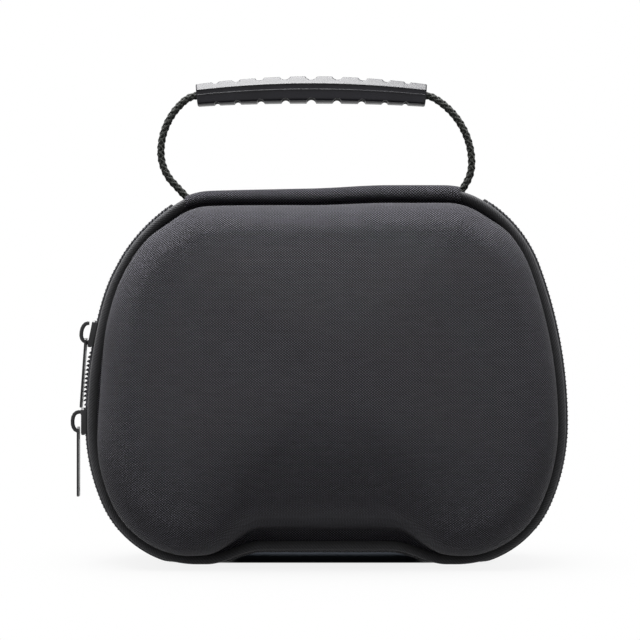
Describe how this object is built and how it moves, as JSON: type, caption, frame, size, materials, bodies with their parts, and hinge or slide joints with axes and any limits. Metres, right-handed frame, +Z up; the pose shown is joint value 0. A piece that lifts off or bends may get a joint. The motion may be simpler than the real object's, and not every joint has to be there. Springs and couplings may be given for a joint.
{
  "type": "controller carrying case",
  "caption": "Moulded clamshell carrying case with a two-slider zip, a fabric spine, a rope handle with a notched grip, a mesh pocket and an elastic strap.",
  "frame": {"origin": "on the ground, midway across the whole width, sliders included, and in the middle of the zip", "axes": "+X to the right seen from the lid, the lid faces -Y, +Z up; stored standing on its lower edge, closed"},
  "size_m": [0.1956, 0.075, 0.1915],
  "materials": {
    "woven_shell": "ballistic weave",
    "binding": "fine weave",
    "zip_tape": "fine weave",
    "nylon_coil": "satin",
    "black_metal": "gloss",
    "lining_tape": "ribbed",
    "elastic": "ribbed",
    "mesh": "net",
    "rope": "braid",
    "grip_rubber": "satin"
  },
  "bodies": {
    "back_half": {"back_shell": "woven_shell", "back_binding": "binding", "back_zip_tape": "zip_tape", "back_coil": "nylon_coil", "back_zip_stops": "black_metal", "spine": "woven_shell", "inner_hinge_tape": "lining_tape", "left_bar_tack": "binding", "right_bar_tack": "binding", "controller_strap": "elastic", "left_strap_patch": "lining_tape", "right_strap_patch": "lining_tape"},
    "lid": {"front_shell": "woven_shell", "front_binding": "binding", "front_zip_tape": "zip_tape", "front_coil": "nylon_coil", "front_zip_stops": "black_metal", "mesh_pocket": "mesh", "pocket_elastic": "elastic"},
    "handle": {"handle_rope": "rope", "handle_grip": "grip_rubber"},
    "upper_slider_body": {"upper_slider": "black_metal"},
    "upper_pull_body": {"upper_pull": "black_metal"},
    "lower_slider_body": {"lower_slider": "black_metal"},
    "lower_pull_body": {"lower_pull": "black_metal"}
  },
  "joints": [
    {"name": "lid_hinge", "type": "hinge", "parent": "back_half", "child": "lid", "pos_m": [0.00278, -0.002, 0.146], "axis": [-1, 0, 0], "range_deg": [0, 90], "deforming": ["spine", "inner_hinge_tape"]},
    {"name": "handle_swing", "type": "hinge", "parent": "back_half", "child": "handle", "pos_m": [0.00278, 0, 0.1498], "axis": [-1, 0, 0], "range_deg": [-90, 90]},
    {"name": "upper_slider_travel", "type": "hinge", "parent": "back_half", "child": "upper_slider_body", "pos_m": [0.08778, 0, 0.055], "axis": [0, 1, 0], "range_deg": [0, 8]},
    {"name": "upper_pull_swing", "type": "hinge", "parent": "upper_slider_body", "child": "upper_pull_body", "pos_m": [-0.09222, 0, 0.08798], "axis": [0, 1, 0], "range_deg": [0, 130]},
    {"name": "lower_slider_travel", "type": "hinge", "parent": "back_half", "child": "lower_slider_body", "pos_m": [-0.01222, 0, 0.055], "axis": [0, 1, 0], "range_deg": [-18, 0]},
    {"name": "lower_pull_swing", "type": "hinge", "parent": "lower_slider_body", "child": "lower_pull_body", "pos_m": [-0.09522, 0, 0.05297], "axis": [0, 1, 0], "range_deg": [-12, 130]}
  ]
}
